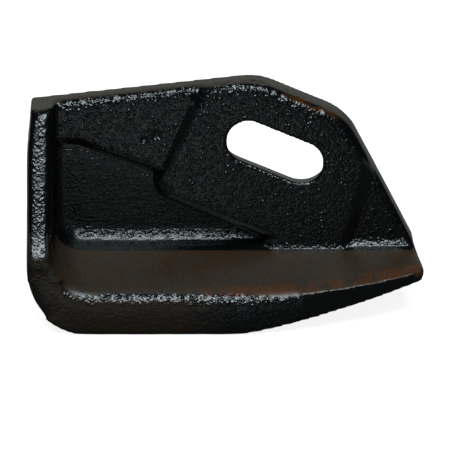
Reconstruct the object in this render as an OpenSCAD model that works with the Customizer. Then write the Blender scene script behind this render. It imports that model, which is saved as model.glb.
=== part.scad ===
// Cast wear tooth for an excavator bucket: one iron casting.
// A mounting plate with one oblique bolt slot stands on a deep ledge. A rim closes the heel end,
// the ledge tapers to a nose at the other end, and a shallow recess lightens the plate.
// X runs from the heel to the nose, -Y points out of the plate's front, and +Z is up.
// The origin is the centre of the bottom of the bounding box.

/* [Overall size] */
// Length from the heel to the nose
length = 210; // [175:1:252]
// Depth from the mounting face to the front of the ledge
depth = 61; // [50:1:75]

/* [Bolt slot] */
// Width of the slot at the front of the pad
slot_width = 22; // [18:0.5:26]
// Distance between the centres of the slot's two round ends
slot_travel = 30.4; // [20:0.1:36]
// Angle at which the slot drops towards the nose
slot_tilt = 23.4; // [18:0.1:28]
// Distance from the nose back to the middle of the slot
slot_from_nose = 79.6; // [70:0.1:90]
// Height of the middle of the slot above the sole
slot_z = 85.6; // [78:0.1:96]
// Metal around the slot's ends, out to the plate's edge
slot_wall = 21.5; // [17:0.5:26]
// Widening of the slot on each side at the mounting face
slot_flare = 3.8; // [0.5:0.1:4.5]

/* [Plate] */
// Thickness of the plate
web = 12.5; // [11:0.1:15]
// Angle of the plate's long edge above the nose
flank_angle = 63.3; // [58:0.1:68]

/* [Bolt pad] */
// Height of the bolt pad above the plate
pad_rise = 3.5; // [2:0.1:6]
// Distance from the middle of the slot to the pad's heel edge, along the slot
pad_reach = 47; // [40:0.5:54]
// Distance from the middle of the slot to the pad's lower edge, across the slot
pad_drop = 43; // [38:0.5:46]
// Width of the pad's foot on the ledge
pad_foot = 36; // [30:0.5:44]
// Distance from the middle of the slot back to the pad's foot, along the ledge
pad_foot_back = 3.4; // [0:0.1:10]
// Height of the pad's foot
foot_rise = 16; // [12:0.5:22]
// Angle of the pad's nose edge
pad_lean = 72.6; // [68:0.1:78]
// Run of the pad's sloping sides, beyond the pad's edge
pad_slope = 4.6; // [2:0.1:6]

/* [Ledge] */
// Height at which the plane of the ledge's top meets the mounting face
shelf_height = 34.7; // [29:0.1:40]
// Angle at which the ledge's top drops towards the front
shelf_fall = 12; // [8:0.5:14]
// Length of the nose, from its end to where the underside meets the sole's plane
nose_length = 95; // [80:1:110]
// Thickness of the nose's end
nose_tip = 5.4; // [3:0.1:9]
// Radius of the bend between the sole and the underside of the nose
sole_bend = 150; // [60:5:180]
// Length over which the ledge's front curves back to the nose
taper_length = 105; // [88:1:120]
// Depth of the nose's end
nose_depth = 36; // [28:1:44]
// Rounding of the nose's front corner, seen from above
nose_round = 5; // [2:0.5:8]
// Radius of the heel's lower corner
heel_radius = 32; // [20:1:36]

/* [Rim] */
// Width of the rim at its front
rim_width = 12.6; // [10:0.1:18]
// Draft of the rim's inner wall
rim_draft = 1.5; // [0:0.1:3]
// Height of the rim at the heel
rim_height = 111; // [100:1:118]
// Height at which the rim's outer side starts to lean in
rim_bend = 90; // [75:1:98]
// Inward lean of the rim's outer side, at its top
rim_lean_in = 2; // [0.5:0.1:4]
// Distance that the rim's top stands out from the mounting face
rim_reach = 24; // [21:1:32]
// Height at which the rim's front starts to lean back
knee_height = 42; // [34:1:56]
// Draft of the ledge's front face, from the sole to the knee
front_draft = 2.5; // [0:0.1:5]

/* [Recess] */
// Thickness of the plate at the recess's upper edge
recess_top = 9.6; // [8:0.1:10.5]
// Thickness of the plate at the foot of the recess
recess_foot = 5; // [4:0.1:7]
// Height of the recess's upper edge at the rim
crease_height = 90; // [82:1:98]
// Length of the level stretch of that edge, from the heel
crease_level = 26; // [20:1:40]
// Radius that rounds the recess into the ledge and the rim
recess_round = 6.5; // [6:0.5:10]

/* [Fillets] */
// Fillet between the plate and the rim, and the plate and the ledge
root_fillet = 4; // [2:0.5:6]
// Inner corner between the rim and the ledge, at the plate
root_corner = 13; // [11:0.5:15]
// Inner corner between the rim and the ledge, at the front
tray_corner = 24; // [16:1:28]
// Rounding of the small corners
edge_round = 2; // [1:0.5:3]
// Rounding of the pad's corners
pad_round = 7; // [4:0.5:10]

/* [Hidden] */
// Reach of the cutting bodies past the metal
spare = 20;
// Thickness of the slices that a hull joins
slice = 0.02;
// Steps in a rounded corner
corner_steps = 10;

pad_front = web + pad_rise;
crown_radius = slot_width / 2 + slot_wall;
slot_middle = [length - slot_from_nose, slot_z];
slot_run = [cos(slot_tilt), -sin(slot_tilt)];
slot_side = [sin(slot_tilt), cos(slot_tilt)];
heel_end = slot_middle - slot_run * slot_travel / 2;
nose_end = slot_middle + slot_run * slot_travel / 2;
// Lower corner of the pad at its heel edge
pad_heel_low = slot_middle - pad_reach * slot_run - pad_drop * slot_side;
pad_foot_x = slot_middle.x - pad_foot_back;
// The plate's top edge leaves the rim's corner and touches the crown
rim_corner = [rim_lean_in, rim_height];
corner_to_crown = heel_end - rim_corner;
top_climb = atan2(corner_to_crown.y, corner_to_crown.x) + asin(crown_radius / norm(corner_to_crown));
top = heel_end.y + crown_radius;

// Height of the ledge's top and position of the rim's inner wall at depth d
function shelf_z(d) = shelf_height - d * tan(shelf_fall);
function rim_wall_x(d) = rim_width + (depth - d) * tan(rim_draft);
// Where the plate's long edge meets height z
function flank_x(z) = nose_end.x + (crown_radius - (z - nose_end.y) * cos(flank_angle)) / sin(flank_angle);
// Thickness of the plate in the recess at height z
recess_low = shelf_z(recess_foot + recess_round) + recess_round;
function recess_floor(z) =
    recess_foot + (recess_top - recess_foot) * (z - recess_low) / (crease_height - recess_low);

function unit(v) = v / norm(v);
// Points of the arc about c with radius r, between two angles
function arc(c, r, from, to) =
    [for (i = [0:corner_steps]) let (a = from + (to - from) * i / corner_steps) c + r * [cos(a), sin(a)]];
// The corner at b, between the lines from a and to c, rounded with radius r
function corner(a, b, c, r) =
    let (u = unit(a - b), v = unit(c - b), half = acos(u * v) / 2)
    let (centre = b + unit(u + v) * r / sin(half), leg = r / tan(half))
    let (start = b + u * leg - centre, stop = b + v * leg - centre)
    let (a0 = atan2(start.y, start.x), turn = atan2(stop.y, stop.x) - a0)
    arc(centre, r, a0, a0 + turn - 360 * round(turn / 360));
// A closed outline through corners of [x, y, radius]
function rounded(p) = [
    for (i = [0:len(p) - 1])
        let (a = p[(i + len(p) - 1) % len(p)], b = p[i], c = p[(i + 1) % len(p)])
        each b.z == 0 ? [[b.x, b.y]] : corner([a.x, a.y], [b.x, b.y], [c.x, c.y], b.z)
];

// Extrusions of an outline drawn in X and Z, in depth and Z, and in X and depth
module seen_from_front(t, d = 0) translate([0, -d, 0]) rotate([90, 0, 0]) linear_extrude(t) children();
module seen_from_side(t) translate([t, 0, 0]) rotate([90, 0, -90]) linear_extrude(t) children();
module seen_from_above(t) mirror([0, 1, 0]) linear_extrude(t) children();

// Outline from the front: nose, sole, heel, rim, and the crown around the slot
module front_outline() {
    nose_top = shelf_z(nose_depth);
    polygon(concat(
        rounded([
            [length, nose_top, 0],
            [length, nose_top - nose_tip, edge_round / 2],
            [length - nose_length, 0, sole_bend],
            [0, 0, heel_radius],
            [0, rim_bend, 0],
            [rim_corner.x, rim_corner.y, edge_round / 2],
            [heel_end.x - crown_radius * sin(top_climb), heel_end.y + crown_radius * cos(top_climb), 0],
        ]),
        arc(heel_end, crown_radius, 90 + top_climb, 90 - slot_tilt),
        arc(nose_end, crown_radius, 90 - slot_tilt, 90 - flank_angle),
        [[flank_x(shelf_z(web)), shelf_z(web)]]
    ));
}

// Outline from the heel end: sole, ledge front, and the rim leaning back to the plate
module side_outline() {
    knee = [depth - knee_height * tan(front_draft), knee_height];
    lean = (knee.x - rim_reach) / (rim_height - knee_height);
    polygon(rounded([
        [0, 0, 0],
        [depth, 0, edge_round],
        [depth, 1.5 * edge_round, 0],
        [knee.x, knee.y, knee_height / 2],
        [rim_reach - lean * (top - rim_height), top, 0],
        [0, top, 0],
    ]));
}

// Outline from above: the front of the ledge curves back to the nose
module plan_outline() {
    fall = depth - nose_depth;
    bend = (taper_length * taper_length + fall * fall) / (2 * fall);
    // The curve stops short of the nose, where the rounded corner takes over
    stop = 90 - asin((taper_length - 2 * nose_round) / bend);
    curve = arc([length - taper_length, depth - bend], bend, 90, stop);
    polygon(concat(
        [[0, 0], [0, depth]],
        curve,
        corner(curve[corner_steps], [length, nose_depth], [length, 0], nose_round),
        [[length, nose_depth - nose_round], [flank_x(shelf_height), 0]]
    ));
}

// The metal before the hollows are cut: the three outlines crossed
module blank() {
    intersection() {
        seen_from_front(depth) front_outline();
        seen_from_side(length) side_outline();
        seen_from_above(top) plan_outline();
    }
}

// One slice of the open tray in front of the plate, between the rim and the ledge
module tray_slice(d, inset) {
    blend = (d - web) / (depth - web);
    left = rim_wall_x(d) + inset;
    low = shelf_z(d) + inset;
    seen_from_front(slice, d) polygon(rounded([
        [left, low, root_corner + (tray_corner - root_corner) * blend],
        [length + spare, low, 0],
        [length + spare, top + spare, 0],
        [left, top + spare, 0],
    ]));
}

module tray() {
    hull() {
        for (a = [0:18:90]) tray_slice(web + root_fillet * (1 - cos(a)), root_fillet * (1 - sin(a)));
        tray_slice(depth + 1, 0);
    }
}

// The shallow hollow under the crease: its floor leans back to its foot
module recess() {
    left = rim_wall_x(web) + recess_round;
    round_over = root_corner - recess_round;
    right = pad_foot_x;
    pad_corner = pad_heel_low + pad_round * slot_side;
    intersection() {
        hull() for (p = [
            [left, crease_height], [left, recess_low + round_over],
            [left + round_over, recess_low], [right, recess_low], [right, crease_height]
        ])
            translate([p.x, -recess_floor(p.y) - recess_round, p.y]) sphere(recess_round, $fn = 32);
        seen_from_front(depth) polygon([
            [0, 0], [0, crease_height], [crease_level, crease_height],
            pad_corner, [right, pad_corner.y], [right, 0]
        ]);
    }
}

// A boss whose sides slope out from the pad's face to the plate and on to the mounting face
module sloped_boss() {
    hull() {
        seen_from_front(slice, pad_front - slice) children();
        seen_from_front(slice, web) offset(delta = pad_slope) children();
        seen_from_front(slice, 0) offset(delta = 1.5 * pad_slope) children();
    }
}

// The pad: a block square to the slot, and a foot that carries it down to the ledge
module pad() {
    lean = [cos(pad_lean), sin(pad_lean)];
    foot_low = shelf_z(pad_front) - 2 * edge_round;
    foot_start = [pad_foot_x, foot_low];
    // The foot goes deeper into the ledge than the block, so that their hidden ends stay apart
    deeper = [0, edge_round];
    foot_end = foot_start + [pad_foot, 0];
    foot_top = foot_rise / lean.y * lean;
    // Where the pad's nose edge meets the plate's long edge
    climb = (flank_x(foot_low) - foot_end.x) / (lean.x + lean.y / tan(flank_angle));
    nose_high = foot_end + climb * lean;
    sloped_boss() polygon(rounded([
        [pad_heel_low.x, pad_heel_low.y, pad_round],
        [foot_end.x, pad_heel_low.y - (foot_end.x - pad_heel_low.x) * tan(slot_tilt), 0],
        [foot_end.x, foot_low, 0],
        [nose_high.x, nose_high.y, pad_round],
        [flank_x(top + spare), top + spare, 0],
        [pad_heel_low.x + top * slot_side.x, pad_heel_low.y + top * slot_side.y, 0],
    ]));
    sloped_boss() polygon([
        foot_start - deeper, foot_end - deeper, foot_end + foot_top, foot_start + foot_top
    ]);
}

// The bolt slot: two cones and a wedge between them, wider at the mounting face
module bolt_slot() {
    past = 1;
    back = slot_width / 2 + slot_flare * (1 + past / pad_front);
    front = slot_width / 2 - slot_flare * past / pad_front;
    span = pad_front + 2 * past;
    translate([heel_end.x, past, heel_end.y]) rotate([0, slot_tilt, 0]) {
        rotate([90, 0, 0]) cylinder(span, back, front, $fn = 96);
        translate([slot_travel, 0, 0]) rotate([90, 0, 0]) cylinder(span, back, front, $fn = 96);
        seen_from_side(slot_travel) polygon([[0, back], [span, front], [span, -front], [0, -back]]);
    }
}

module tooth_casting() {
    color([0.10, 0.11, 0.12])
    translate([-length / 2, depth / 2, 0])
    difference() {
        union() {
            difference() {
                blank();
                tray();
                recess();
            }
            intersection() {
                blank();
                pad();
            }
        }
        bolt_slot();
    }
}

tooth_casting();
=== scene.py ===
# %% [markdown]
# # A cast wear tooth in black paint
# The real part is a single iron casting: a plate with one bolt slot, standing on a deep ledge.
# It has no screws, covers or moving parts, so nearly everything that makes it look real is in
# its skin: soft cast edges, a sandy grain, a coat of black paint, dust and a little rust.
#
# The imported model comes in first. It is exact in size and place, but its edges are knife sharp.
# It stays where it is as the frame, and everything below is placed from its box.

# %% Load the frame
import math
import bmesh
import bpy
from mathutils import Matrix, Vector, noise


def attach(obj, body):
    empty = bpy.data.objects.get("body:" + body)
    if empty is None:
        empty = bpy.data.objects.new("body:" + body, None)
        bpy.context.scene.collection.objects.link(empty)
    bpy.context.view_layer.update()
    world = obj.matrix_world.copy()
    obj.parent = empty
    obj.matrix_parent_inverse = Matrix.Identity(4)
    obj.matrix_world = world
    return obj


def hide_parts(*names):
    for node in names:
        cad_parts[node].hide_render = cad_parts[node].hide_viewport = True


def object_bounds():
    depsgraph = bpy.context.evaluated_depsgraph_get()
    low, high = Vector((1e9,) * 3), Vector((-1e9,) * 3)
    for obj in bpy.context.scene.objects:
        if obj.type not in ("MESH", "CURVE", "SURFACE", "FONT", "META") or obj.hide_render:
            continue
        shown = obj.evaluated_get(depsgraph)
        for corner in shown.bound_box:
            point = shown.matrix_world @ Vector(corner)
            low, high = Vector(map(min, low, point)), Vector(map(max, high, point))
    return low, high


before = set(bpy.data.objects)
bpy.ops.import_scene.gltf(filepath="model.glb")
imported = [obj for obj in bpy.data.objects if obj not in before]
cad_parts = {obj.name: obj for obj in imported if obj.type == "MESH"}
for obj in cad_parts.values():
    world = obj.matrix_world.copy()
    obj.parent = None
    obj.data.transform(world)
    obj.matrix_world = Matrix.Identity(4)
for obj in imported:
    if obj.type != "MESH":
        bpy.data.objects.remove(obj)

MM = 0.001
cad_low, cad_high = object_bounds()
heel, nose = cad_low.x, cad_high.x
ledge_front, back_face = cad_low.y, cad_high.y
sole = cad_low.z
centre = (cad_low + cad_high) / 2
print("casting:", [round(v / MM, 2) for v in cad_high - cad_low], "mm")

# %% [markdown]
# The camera. A part like this is shown with a long lens, so that its edges stay parallel and it
# can be read almost like a drawing. A short lens close by would swell the ledge. The camera
# looks down by 22 degrees, which shows the top of the ledge and the thickness of the plate.

# %% Camera
camera_drop = math.radians(22)
camera_distance = 3.5
picture_width = 1.141 * (nose - heel)
aim = centre + Vector((0.4, 0, -13.0)) * MM


def from_centre(target, side, rise, distance):
    """A place seen from the target: side turns round it from the front, rise is above it."""
    flat = math.cos(rise) * distance
    return target + Vector((math.sin(side) * flat, -math.cos(side) * flat, math.sin(rise) * distance))


camera_data = bpy.data.cameras.new("long_lens")
camera_data.sensor_width = 36
camera_data.lens = camera_data.sensor_width * camera_distance / picture_width
camera = bpy.data.objects.new("long_lens", camera_data)
camera.location = from_centre(aim, 0, camera_drop, camera_distance)
camera.rotation_euler = (aim - camera.location).to_track_quat("-Z", "Y").to_euler()
bpy.context.collection.objects.link(camera)
bpy.context.scene.camera = camera
print("lens:", round(camera_data.lens), "mm at", camera_distance, "m")

# %% [markdown]
# The studio. Black gloss shows nothing but what it reflects, so the lights are its finish.
# A soft box high in front draws the bright specks on every edge that leans back, and a larger,
# weaker one round it softens their borders. A wide one low behind gives the dusty top faces their
# grey sheen. No lamp hangs overhead or at the sides, and that keeps the grooves and the flanks of
# the pad black. Glowing cards lie on the floor around the casting, and only its gloss sees them.

# %% Floor and lights
def stage_plane(name, left, right, front, back, height):
    """A flat rectangle of stage between those edges; it isn't part of the object."""
    plane = bmesh.new()
    bmesh.ops.create_grid(plane, x_segments=1, y_segments=1, size=0.5)
    bmesh.ops.scale(plane, verts=plane.verts, vec=(right - left, back - front, 1))
    bmesh.ops.translate(plane, verts=plane.verts, vec=((left + right) / 2, (front + back) / 2, height))
    mesh = bpy.data.meshes.new(name)
    plane.to_mesh(mesh)
    plane.free()
    sheet = bpy.data.objects.new(name, mesh)
    bpy.context.collection.objects.link(sheet)
    return sheet


def soft_box(name, side, rise, distance, width, height, brightness, tint):
    """An area light aimed at the casting, side and rise in degrees, brightness as a mirror shows it."""
    lamp = bpy.data.lights.new(name, "AREA")
    lamp.shape = "RECTANGLE"
    lamp.size, lamp.size_y = width, height
    lamp.energy = brightness * math.pi * width * height
    lamp.color = tint
    box = bpy.data.objects.new(name, lamp)
    box.location = from_centre(centre, math.radians(side), math.radians(rise), distance)
    box.rotation_euler = (centre - box.location).to_track_quat("-Z", "Y").to_euler()
    bpy.context.collection.objects.link(box)


floor = stage_plane("pale_floor", -4, 4, -4, 4, sole - 0.05 * MM)
# The card in front fades in away from the casting, from its near edge to its far one
card_near, card_far = ledge_front - 0.06, ledge_front - 0.32
cards = [stage_plane("gloss_card", heel - 0.10, nose - 0.05, card_far, card_near, sole)]
# Three more lie behind and beside it, for whoever walks round
cards.append(stage_plane("back_card", heel - 0.8, nose + 0.8, back_face + 0.03, back_face + 0.9, sole))
cards.append(stage_plane("heel_card", heel - 1.2, heel - 0.28, -0.4, back_face + 0.02, sole))
cards.append(stage_plane("nose_card", nose + 0.5, nose + 1.4, -0.4, back_face + 0.02, sole))
for card in cards:
    card.visible_camera = False
    card.visible_diffuse = False
    card.visible_shadow = False
soft_box("front_box", 0, 58, 1.8, 1.5, 0.90, 12.0, (0.84, 0.96, 1.0))
soft_box("front_haze", 0, 56, 2.0, 2.2, 2.3, 1.3, (0.80, 0.95, 1.0))
soft_box("back_box", 180, 20, 4.0, 5.0, 2.6, 0.48, (1.0, 0.96, 0.88))
print("studio:", len(bpy.data.lights), "soft boxes and", len(cards), "cards")

world = bpy.data.worlds.new("dim_room")
world.use_nodes = True
room = world.node_tree.nodes["Background"]
room.inputs["Color"].default_value = (0.9, 0.95, 1.0, 1)
room.inputs["Strength"].default_value = 0.03
bpy.context.scene.world = world
bpy.context.scene.view_settings.view_transform = "Standard"
bpy.context.scene.cycles.use_denoising = False  # it would wipe out the specks of light on the grain

# %% [markdown]
# The cast skin. Sand moulds leave no sharp edges and no perfectly flat faces. Bevels on each edge
# would be regular and would miss the hollows, so the copy is wrapped in an even net of small
# squares instead, and the net is relaxed: it rounds ridges and fills corners alike, as iron does.

# %% Wrap a copy of the casting in an even net
net_size = 1.1 * MM


def copy_of(node, name):
    """A welded copy of a frame node, as an object of its own."""
    solid = bmesh.new()
    solid.from_mesh(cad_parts[node].data)
    bmesh.ops.remove_doubles(solid, verts=solid.verts, dist=0.001 * MM)
    mesh = bpy.data.meshes.new(name)
    solid.to_mesh(mesh)
    solid.free()
    piece = bpy.data.objects.new(name, mesh)
    bpy.context.collection.objects.link(piece)
    return piece


def apply_modifiers(piece):
    shaped = piece.evaluated_get(bpy.context.evaluated_depsgraph_get())
    mesh = bpy.data.meshes.new_from_object(shaped)
    piece.modifiers.clear()
    piece.data = mesh


casting = copy_of("tooth_casting", "cast_skin")
wrap = casting.modifiers.new("net", "REMESH")
wrap.mode = "VOXEL"
wrap.voxel_size = net_size
apply_modifiers(casting)
print("net:", len(casting.data.vertices), "points,", 2 * len(casting.data.polygons), "triangles")

# %% Where the net is relaxed
# The plate's thickness beside the pad, and the arc by which the ledge's front falls back to the nose
web_thickness = 12.5 * MM
web_front = back_face - web_thickness
taper_length = 105 * MM
nose_setback = 25 * MM
column_width = 2 * MM
flat_margin = 2 * MM    # points this near the back stay put, and in the first pass those near the sole


def fade(value, none, full):
    """0 at none, 1 at full, and a smooth climb between them."""
    t = min(1, max(0, (value - none) / (full - none)))
    return t * t * (3 - 2 * t)


def front_edge(x):
    """Where the ledge's front stands at x: straight at the heel, then an arc back to the nose."""
    bend = (taper_length ** 2 + nose_setback ** 2) / (2 * nose_setback)
    along = max(0, x - (nose - taper_length))
    return ledge_front + bend - math.sqrt(bend ** 2 - along ** 2)


def on_ledge_edge(p):
    """The upper front edge of the ledge, which the mould left round from the heel to the middle."""
    return p.y < front_edge(p.x) + 12 * MM and sole + 9 * MM < p.z < sole + 30 * MM and p.x < 40 * MM


def top_heights(net):
    """The height of the plate's top edge over each narrow column of the net."""
    heights = {}
    for v in net.verts:
        column = round(v.co.x / column_width)
        heights[column] = max(heights.get(column, 0), v.co.z)
    return heights


def below_top(p):
    """How far p lies under the plate's top edge; top_line is measured once the net is loaded."""
    return top_line[round(p.x / column_width)] - p.z


def on_crown_edge(p):
    """The plate's upper front edge, rounder on the pad than on the plate beside it."""
    reach = 9 * MM if p.x > -30 * MM else 6 * MM
    return below_top(p) < reach and p.y < web_front + reach and p.x > heel + 14 * MM


def on_rim(p):
    return p.x < heel + 15 * MM and p.y < back_face - 20 * MM and p.z > sole + 30 * MM


# Across and up: where the crease leaves the rim, and where it meets the pad
crease_start = Vector((heel + 26 * MM, 90 * MM))
crease_stop = Vector((heel + 74 * MM, 72 * MM))


def below_crease(p):
    """Height of the recess's upper edge over p: level at the rim, then falling to the pad."""
    along = min(1, max(0, (p.x - crease_start.x) / (crease_stop.x - crease_start.x)))
    return crease_start.y + along * (crease_stop.y - crease_start.y) - p.z


def on_crease(p):
    return abs(below_crease(p)) < 4.5 * MM and p.x < crease_stop.x + 6 * MM and p.y > web_front - 1 * MM


def in_recess_corner(p):
    return heel + 12 * MM < p.x < heel + 40 * MM and p.z < 56 * MM and p.y > web_front - 4 * MM


def on_recess_foot(p):
    return heel + 20 * MM < p.x < 6 * MM and 26 * MM < p.z < 40 * MM and p.y > web_front - 12 * MM


print("the ledge falls back by", round((front_edge(nose) - ledge_front) / MM, 1), "mm at the nose")


# %% Relax the net
def relax(net, points, passes):
    for _ in range(passes):
        bmesh.ops.smooth_vert(net, verts=points, factor=0.5,
                              use_axis_x=True, use_axis_y=True, use_axis_z=True)


def relax_where(net, inside, passes):
    points = [v for v in net.verts if inside(v.co) and v.co.y < back_face - flat_margin]
    relax(net, points, passes)
    print(inside.__name__, len(points), "points,", passes, "passes")


skin = bmesh.new()
skin.from_mesh(casting.data)
top_line = top_heights(skin)
free = [v for v in skin.verts if v.co.y < back_face - flat_margin and v.co.z > sole + flat_margin]
relax(skin, free, 2)
relax_where(skin, on_ledge_edge, 90)
relax_where(skin, on_crown_edge, 36)
relax_where(skin, on_rim, 30)
relax_where(skin, on_crease, 16)
relax_where(skin, in_recess_corner, 16)
relax_where(skin, on_recess_foot, 10)
skin.normal_update()

# %% [markdown]
# Where the finish changes. Dust lies on faces that look up, rust starts where the ledge's top
# meets its front, and the grain is tallest where the sand was loose. The dust share also holds
# painted light: a painted reflection that lightens the ledge's front at the heel, and painted
# shade where it is held off the shelf under the recess. A shader could guess this
# from the surface's direction, but the waves added next would blur the guess. So each share is
# worked out point by point on the relaxed net and kept on the skin under a name.

# %% Mark dust with its painted reflection and shade, rust and grain on the skin
shelf_lean = math.sin(math.radians(12))


def dust_and_painted_light_at(p, n):
    """Dust on faces that look up. It stops at the fillets, because the paint there is steep and was wiped
    by rain.
    On the ledge's front at the heel the share is a painted reflection that lightens the face, and on the
    shelf under the recess it is held off, which leaves painted shade.
    """
    # Painted reflection: on the ledge's front at the heel this share lightens the face.
    if p.y < front_edge(p.x) + 4 * MM and n.y < -0.8:
        return 0.45 * fade(p.x, 5 * MM, -30 * MM)
    at_front = p.y < front_edge(p.x) + 9 * MM
    at_ends = max(fade(p.x, 5 * MM, 35 * MM), fade(p.x, -60 * MM, -80 * MM))
    limit = 0.50 + 0.35 * at_ends if at_front else shelf_lean + 0.09
    # Painted shade: the shelf under the recess is kept bare of dust, so it stays black there.
    under_recess = fade(p.x, heel + 10 * MM, heel + 18 * MM) * fade(p.x, 24 * MM, 21 * MM)
    painted_shade_under_recess = under_recess * fade(p.y, web_front - 6 * MM, web_front - 4.5 * MM)
    painted_shade_under_recess *= fade(p.z, 60 * MM, 50 * MM)
    return fade(-n.y, limit, limit - 0.07) * fade(n.z, 0.10, 0.45) * (1 - painted_shade_under_recess)


def rust_at(p, n):
    behind_edge = p.y - front_edge(p.x)
    along_ledge = fade(behind_edge, 13 * MM, 6 * MM) * fade(p.x, -30 * MM, 5 * MM) * fade(n.z, 0.5, 0.9)
    shoulder = fade(p.x, 28 * MM, 34 * MM) * fade(p.x, 62 * MM, 52 * MM) * fade(p.z, 95 * MM, 100 * MM)
    on_shoulder = shoulder * fade(n.z, 0.25, 0.5) * fade(n.y, -0.15, -0.35)
    return max(along_ledge if p.z < 45 * MM else 0, on_shoulder)


def strokes_at(p, n):
    """The hollow was dressed with a grinder, which left faint strokes across it."""
    in_hollow = fade(below_crease(p), 2 * MM, 6 * MM) * fade(p.x, 10 * MM, -5 * MM)
    return in_hollow * fade(p.y, web_front - 3 * MM, web_front - 1 * MM) * fade(-n.y, 0.35, 0.55)


def grain_at(p, n):
    """How tall the grain stands. Paint ran into the grooves, so their sides are smooth."""
    if on_rim(p):
        return 0.08 + 0.5 * fade(abs(n.x), 0.40, 0.10)
    open_face = fade(max(abs(n.x), -n.z), 0.30, 0.12)
    if p.y < front_edge(p.x) + 7 * MM:
        return 0.08 + (0.25 if n.z < 0.2 else 0.75) * open_face
    if p.z < 60 * MM and n.z > 0.2:
        return 0.08 + 0.9 * open_face * fade(n.z, 0.80, 0.66)
    strokes = strokes_at(p, n)
    if strokes > 0:
        return 0.06 + (0.65 - 0.25 * strokes) * open_face
    return 0.06 + (0.65 + 0.20 * fade(below_top(p), 7 * MM, 3 * MM)) * open_face


# The dust share also carries painted light: a painted reflection on the ledge's front at the heel and
# painted shade under the recess.
finish_maps = {"dust_and_painted_light": dust_and_painted_light_at, "rust": rust_at, "grain": grain_at, "strokes": strokes_at}
for name, share_at in finish_maps.items():
    layer = skin.verts.layers.float.new(name)
    for v in skin.verts:
        v[layer] = share_at(v.co, v.normal)
    print(name, "covers", round(100 * sum(v[layer] for v in skin.verts) / len(skin.verts)), "%")


# %% Roughen the skin
knee_height = 42 * MM
knee_reach = 6 * MM


def waviness(p):
    """How far the mould's wall lies inside the exact casting at p, in metres."""
    slow = noise.noise(p * 45)
    quick = noise.noise(p * 160 + Vector((7, 3, 5)))
    return (0.08 + 0.10 * slow + 0.07 * quick) * MM


def knee_swell(p):
    """The rim swells a little where it bends back above the ledge."""
    return 2.2 * MM * math.exp(-((p.z - knee_height) / knee_reach) ** 2) if on_rim(p) else 0


def crease_groove(p, n):
    """A groove runs under the crease, deep enough that both of its sides miss the lights."""
    if n.y > -0.5 or p.y < web_front - 1 * MM or p.x > crease_stop.x + 4 * MM:
        return 0
    end = fade(p.x, crease_stop.x + 4 * MM, crease_stop.x - 4 * MM)
    below = below_crease(p) - 2 * MM
    width = 2.6 * MM if below < 0 else 5 * MM
    return 1.3 * MM * end * math.exp(-(below / width) ** 2)


def crown_lumps(p):
    """The sand was loose under the crown and left deeper lumps along its front edge."""
    if p.y > back_face - 8 * MM:
        return 0
    reach = fade(below_top(p), 11 * MM, 4 * MM) * fade(p.x, -32 * MM, -24 * MM)
    reach *= fade(p.x, 62 * MM, 50 * MM)
    return 0.9 * MM * reach * max(0, noise.noise(p * 330))


blow_holes = ((-37, 94.5, 2.4), (-43.5, 91.5, 1.7), (-40.5, 96.5, 1.1))    # across, up, radius in mm


def hole_depth(p, n):
    """Small blow holes in the middle of the plate, each with a soft raised lip."""
    if n.y > -0.5 or p.y < web_front - 1 * MM:
        return 0
    depth = 0
    for across, up, radius in blow_holes:
        away = math.hypot(p.x - across * MM, p.z - up * MM) / (radius * MM)
        depth += 1.5 * MM * math.exp(-away ** 2) - 0.4 * MM * math.exp(-(2 * away - 3) ** 2)
    return depth


for v in skin.verts:
    v.co.y += crease_groove(v.co, v.normal) + hole_depth(v.co, v.normal) - knee_swell(v.co)
    v.co -= v.normal * (waviness(v.co) + crown_lumps(v.co))
    v.co = [min(max(c, low), high) for c, low, high in zip(v.co, cad_low, cad_high)]
for f in skin.faces:
    f.smooth = True
print("roughened:", len(skin.verts), "points")
skin.to_mesh(casting.data)
skin.free()

# %% [markdown]
# The finish. It is one coat of black paint over sand-cast iron, so it is one material, and the
# shares that were marked on the skin decide where it changes. The grain is a bump, because it is
# finer than the net. The dust is grey high up and browner on the ledge, where soil lies. The same
# film also paints a reflection on the ledge's front at the heel, and its absence paints shade under the
# recess.

# %% Helpers for building a finish
def add_node(tree, kind, **settings):
    """A shader node with its properties, and its sockets by name, set at once."""
    node = tree.nodes.new(kind)
    for key, value in settings.items():
        name = key.replace("_", " ").title()
        if hasattr(node, key):
            setattr(node, key, value)
        else:
            node.inputs[name].default_value = value
    return node


def join(tree, source, target):
    tree.links.new(source, target)


def noise_at(tree, place, size, detail=2.0, roughness=0.5):
    """Cloudy noise whose blotches are about size metres across."""
    node = add_node(tree, "ShaderNodeTexNoise", scale=1 / size, detail=detail, roughness=roughness)
    join(tree, place, node.inputs["Vector"])
    return node.outputs["Fac"]


def ramp(tree, value, low, high, out_low=0.0, out_high=1.0):
    """Smoothly maps value from low..high to out_low..out_high."""
    node = tree.nodes.new("ShaderNodeMapRange")
    node.interpolation_type = "SMOOTHSTEP"
    join(tree, value, node.inputs["Value"])
    for name, number in (("From Min", low), ("From Max", high), ("To Min", out_low), ("To Max", out_high)):
        node.inputs[name].default_value = number
    return node.outputs["Result"]


def grains_at(tree, place, size):
    """Packed round grains about size metres across: 1 in the middle of each, 0 between them."""
    cells = add_node(tree, "ShaderNodeTexVoronoi", feature="SMOOTH_F1", scale=1 / size, smoothness=0.4)
    join(tree, place, cells.inputs["Vector"])
    return ramp(tree, cells.outputs["Distance"], 0.0, 0.7, 1.0, 0.0)


def combine(tree, operation, a, b):
    """Arithmetic on two sockets or numbers."""
    node = tree.nodes.new("ShaderNodeMath")
    node.operation = operation
    for socket, item in zip(node.inputs, (a, b)):
        if isinstance(item, (int, float)):
            socket.default_value = item
        else:
            join(tree, item, socket)
    return node.outputs[0]


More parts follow.
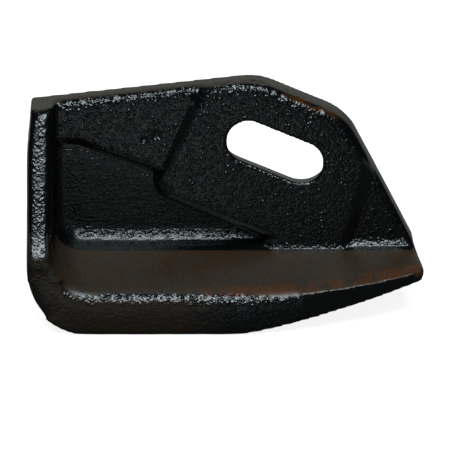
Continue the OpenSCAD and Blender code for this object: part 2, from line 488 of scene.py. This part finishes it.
def mix_colour(tree, share, a, b):
    """Colour a where share is 0 and b where it is 1; both may be a socket or red, green, blue."""
    node = add_node(tree, "ShaderNodeMix", data_type="RGBA")
    join(tree, share, node.inputs[0])
    for socket, item in ((node.inputs[6], a), (node.inputs[7], b)):
        if isinstance(item, tuple):
            socket.default_value = (*item, 1)
        else:
            join(tree, item, socket)
    return node.outputs[2]


def share_of(tree, name):
    """One of the shares that are kept on the skin."""
    return add_node(tree, "ShaderNodeAttribute", attribute_name=name).outputs["Fac"]


# %% The black paint
PAINT_BLACK = (0.0008, 0.0009, 0.0010)
# The dust film's colours; on the ledge's front at the heel the brown film is a painted reflection.
DUST_GREY = (0.0125, 0.0115, 0.0085)
DUST_BROWN = (0.0155, 0.0072, 0.0016)
RUST_BROWN = (0.034, 0.0105, 0.0013)
big_grain = 2.2 * MM
small_grain = 1.3 * MM


def black_paint():
    material = bpy.data.materials.new("black_paint_on_cast_iron")
    material.use_nodes = True
    tree = material.node_tree
    shader = tree.nodes["Principled BSDF"]
    place = tree.nodes.new("ShaderNodeTexCoord").outputs["Object"]
    dust_and_painted_light, rust, coarse, strokes = (share_of(tree, name) for name in finish_maps)
    blotches = noise_at(tree, place, 9 * MM, 4.0, 0.6)
    apart = add_node(tree, "ShaderNodeSeparateXYZ")
    join(tree, place, apart.inputs[0])
    on_ledge = ramp(tree, apart.outputs["Z"], 60 * MM, 40 * MM)
    dust_and_painted_light = combine(tree, "MULTIPLY", dust_and_painted_light, ramp(tree, blotches, 0.2, 0.5, 0.75, 1.0))
    rust = combine(tree, "MULTIPLY", rust, ramp(tree, blotches, 0.34, 0.54))

    tall = ramp(tree, noise_at(tree, place, 2 * big_grain, 3.0, 0.6), 0.35, 0.75, 0.15, 0.95)
    grain = combine(tree, "MULTIPLY", grains_at(tree, place, big_grain), tall)
    fine = combine(tree, "MULTIPLY", grains_at(tree, place, small_grain), 0.25)
    lumps = combine(tree, "MULTIPLY", noise_at(tree, place, 3.5 * MM, 3.0, 0.6), 0.35)
    height = combine(tree, "ADD", combine(tree, "ADD", grain, fine), lumps)
    brushed = add_node(tree, "ShaderNodeMapping", rotation=(0, math.radians(35), 0), scale=(0.2, 1, 1))
    join(tree, place, brushed.inputs["Vector"])
    scratches = noise_at(tree, brushed.outputs["Vector"], 1.4 * MM, 2.0, 0.6)
    height = combine(tree, "ADD", combine(tree, "MULTIPLY", height, coarse),
                     combine(tree, "MULTIPLY", scratches, combine(tree, "MULTIPLY", strokes, 0.5)))
    bump = add_node(tree, "ShaderNodeBump")
    join(tree, height, bump.inputs["Height"])
    bump.inputs["Distance"].default_value = MM
    join(tree, ramp(tree, dust_and_painted_light, 0.0, 1.0, 1.0, 0.15), bump.inputs["Strength"])
    join(tree, bump.outputs["Normal"], shader.inputs["Normal"])

    brown = combine(tree, "MULTIPLY", on_ledge, ramp(tree, blotches, 0.30, 0.60, 0.4, 1.0))
    film = mix_colour(tree, brown, DUST_GREY, DUST_BROWN)
    # The dust share mixes in the film: real dust, plus a painted reflection on the ledge's front at the
    # heel and painted shade under the recess.
    colour = mix_colour(tree, dust_and_painted_light, PAINT_BLACK, film)
    join(tree, mix_colour(tree, rust, colour, RUST_BROWN), shader.inputs["Base Color"])
    dusty_dull = ramp(tree, dust_and_painted_light, 0.0, 1.0, 0.20, 0.42)
    brushed_dull = ramp(tree, strokes, 0.0, 1.0, 0.20, 0.27)
    join(tree, combine(tree, "MAXIMUM", dusty_dull, brushed_dull), shader.inputs["Roughness"])
    shader.inputs["IOR"].default_value = 1.45
    return material


casting.data.materials.clear()
casting.data.materials.append(black_paint())
print("paint:", len(casting.data.materials[0].node_tree.nodes), "shader nodes")


# %% The floor's and the cards' finish
def pale_matt():
    """White paper to the camera and a dim floor to everything else, so that the gloss stays black."""
    material = bpy.data.materials.new("pale_matt_floor")
    material.use_nodes = True
    tree = material.node_tree
    shader = tree.nodes["Principled BSDF"]
    ray = tree.nodes.new("ShaderNodeLightPath")
    join(tree, mix_colour(tree, ray.outputs["Is Camera Ray"], (0.05, 0.05, 0.05), (0.30, 0.30, 0.30)),
         shader.inputs["Base Color"])
    join(tree, mix_colour(tree, ray.outputs["Is Camera Ray"], (0.0, 0.0, 0.0), (1.0, 1.0, 1.0)),
         shader.inputs["Emission Color"])
    shader.inputs["Emission Strength"].default_value = 0.88
    shader.inputs["Roughness"].default_value = 0.9
    shader.inputs["Specular IOR Level"].default_value = 0.1
    return material


def card_glow():
    """Brighter away from the casting, so that the gloss grows towards the plate's top."""
    material = bpy.data.materials.new("card_glow")
    material.use_nodes = True
    tree = material.node_tree
    shader = tree.nodes["Principled BSDF"]
    apart = add_node(tree, "ShaderNodeSeparateXYZ")
    join(tree, tree.nodes.new("ShaderNodeTexCoord").outputs["Object"], apart.inputs[0])
    shader.inputs["Base Color"].default_value = (0.0, 0.0, 0.0, 1)
    shader.inputs["Emission Color"].default_value = (0.92, 0.97, 1.0, 1)
    glow = ramp(tree, apart.outputs["Y"], card_near - 0.09, card_far, 0.36, 1.70)
    join(tree, glow, shader.inputs["Emission Strength"])
    return material


floor.data.materials.append(pale_matt())
glow = card_glow()
for card in cards:
    card.data.materials.append(glow)
print("stage finishes:", floor.data.materials[0].name, "and", glow.name)

# %% [markdown]
# The skin takes the casting's place in the picture, and the frame keeps the casting for its
# weight and for collision.

# %% Hand over
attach(casting, "root")
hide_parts("tooth_casting")
